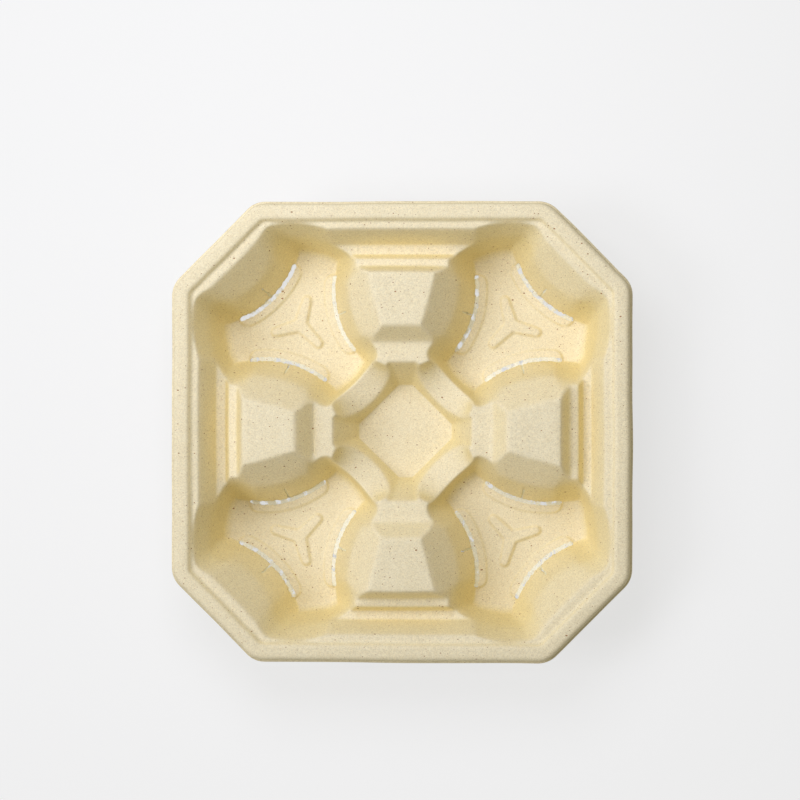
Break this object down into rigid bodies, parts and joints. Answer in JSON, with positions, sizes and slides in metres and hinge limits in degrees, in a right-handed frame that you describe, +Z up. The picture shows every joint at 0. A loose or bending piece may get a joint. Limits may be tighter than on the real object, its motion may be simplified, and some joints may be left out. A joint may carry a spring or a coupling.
{
  "type": "cup carrier tray",
  "caption": "Square moulded-fibre cup carrier tray with cut corners, tapered cup pockets with leaning fingers and a middle compartment.",
  "frame": {"origin": "middle of the tray on the plane it rests on", "axes": "+Z up out of the pockets, +X and +Y across the straight sides"},
  "size_m": [0.216, 0.216, 0.045],
  "materials": {
    "moulded_fibre": "matte unbleached pulp with brown specks"
  },
  "bodies": {
    "root": {"carrier_tray": "moulded_fibre"}
  },
  "joints": []
}
